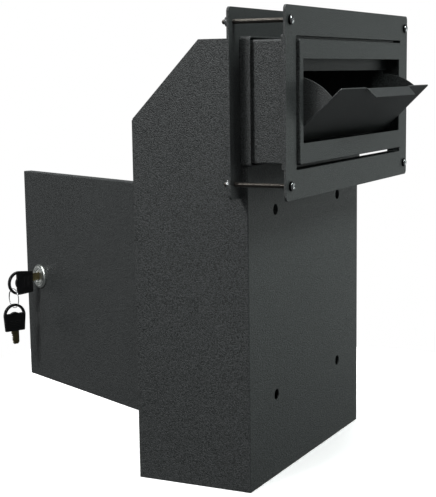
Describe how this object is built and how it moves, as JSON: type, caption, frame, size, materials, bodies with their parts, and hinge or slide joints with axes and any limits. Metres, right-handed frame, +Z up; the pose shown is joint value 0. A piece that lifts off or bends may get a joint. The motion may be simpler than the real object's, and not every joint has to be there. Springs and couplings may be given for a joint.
{
  "type": "parcel drop box",
  "caption": "Through-wall steel drop box with a telescoping chute, tilt-out hopper, bolted face plate and flange, sloped roof and locking rear door.",
  "frame": {"origin": "centre of the underside of the box", "axes": "+X right as seen from the street side, +Y into the room towards the rear door, +Z up"},
  "size_m": [0.2952, 0.3844, 0.4018],
  "materials": {
    "powder_coat": "fine-textured charcoal powder coat, matt",
    "black_washer": "black-oxide washer",
    "bright_zinc": "bright plated screw and nut",
    "zinc_steel": "zinc-plated steel",
    "chrome": "polished chrome on die-cast zinc",
    "key_plastic": "moulded black plastic",
    "nickel": "nickel-plated brass and steel"
  },
  "bodies": {
    "root": {"left_side_panel": "powder_coat", "right_side_panel": "powder_coat", "front_panel": "powder_coat", "bottom_panel": "powder_coat", "roof_panel": "powder_coat", "rear_frame": "powder_coat", "door_return": "powder_coat", "wall_flange": "powder_coat", "chute_collar": "powder_coat", "flange_washers": "black_washer", "flange_nuts": "bright_zinc", "hinge_fixed_leaves": "powder_coat", "hinge_pins": "zinc_steel"},
    "chute": {"chute_sleeve": "powder_coat", "sleeve_front": "powder_coat", "face_plate": "powder_coat", "window_return": "powder_coat", "sleeve_spacers": "powder_coat", "through_bolts": "bright_zinc", "bolt_washers": "black_washer", "hopper_stop": "powder_coat", "hopper_pivot_rod": "zinc_steel", "pivot_rod_caps": "zinc_steel"},
    "hopper": {"hopper_panel": "powder_coat", "hopper_cheek_left": "powder_coat", "hopper_cheek_right": "powder_coat"},
    "door": {"door_panel": "powder_coat", "hinge_door_leaves": "powder_coat", "lock_housing": "chrome", "lock_nut": "chrome"},
    "lock_plug": {"lock_plug": "chrome", "lock_cam": "zinc_steel", "cam_washer": "zinc_steel", "cam_screw": "zinc_steel"},
    "key": {"key_blade": "nickel", "key_head": "key_plastic"},
    "key_ring": {"key_ring": "nickel"},
    "spare_key": {"spare_key_blade": "nickel", "spare_key_head": "key_plastic"}
  },
  "joints": [
    {"name": "chute_slide", "type": "slide", "parent": "root", "child": "chute", "axis": [0, 1, 0], "range_m": [0, 0.026]},
    {"name": "hopper_tilt", "type": "hinge", "parent": "chute", "child": "hopper", "pos_m": [0, -0.0853, 0.2999], "axis": [-1, 0, 0], "range_deg": [0, 47]},
    {"name": "door_swing", "type": "hinge", "parent": "root", "child": "door", "pos_m": [-0.1066, 0.0566, 0.1534], "axis": [0, 0, 1], "range_deg": [-64.4, 110]},
    {"name": "lock_turn", "type": "hinge", "parent": "door", "child": "lock_plug", "pos_m": [-0.02367, 0.22367, 0.15345], "axis": [0.9018, -0.4321, 0], "range_deg": [0, 90]},
    {"name": "key_slide", "type": "slide", "parent": "lock_plug", "child": "key", "axis": [-0.9018, 0.4321, 0], "range_m": [0, 0.012]},
    {"name": "ring_swing", "type": "hinge", "parent": "key", "child": "key_ring", "pos_m": [-0.05127, 0.23689, 0.14155], "axis": [-0.9018, 0.4321, 0], "range_deg": [-90, 90]},
    {"name": "spare_key_swing", "type": "hinge", "parent": "key_ring", "child": "spare_key", "pos_m": [-0.05127, 0.23689, 0.12805], "axis": [-0.9018, 0.4321, 0], "range_deg": [-60, 60]}
  ]
}
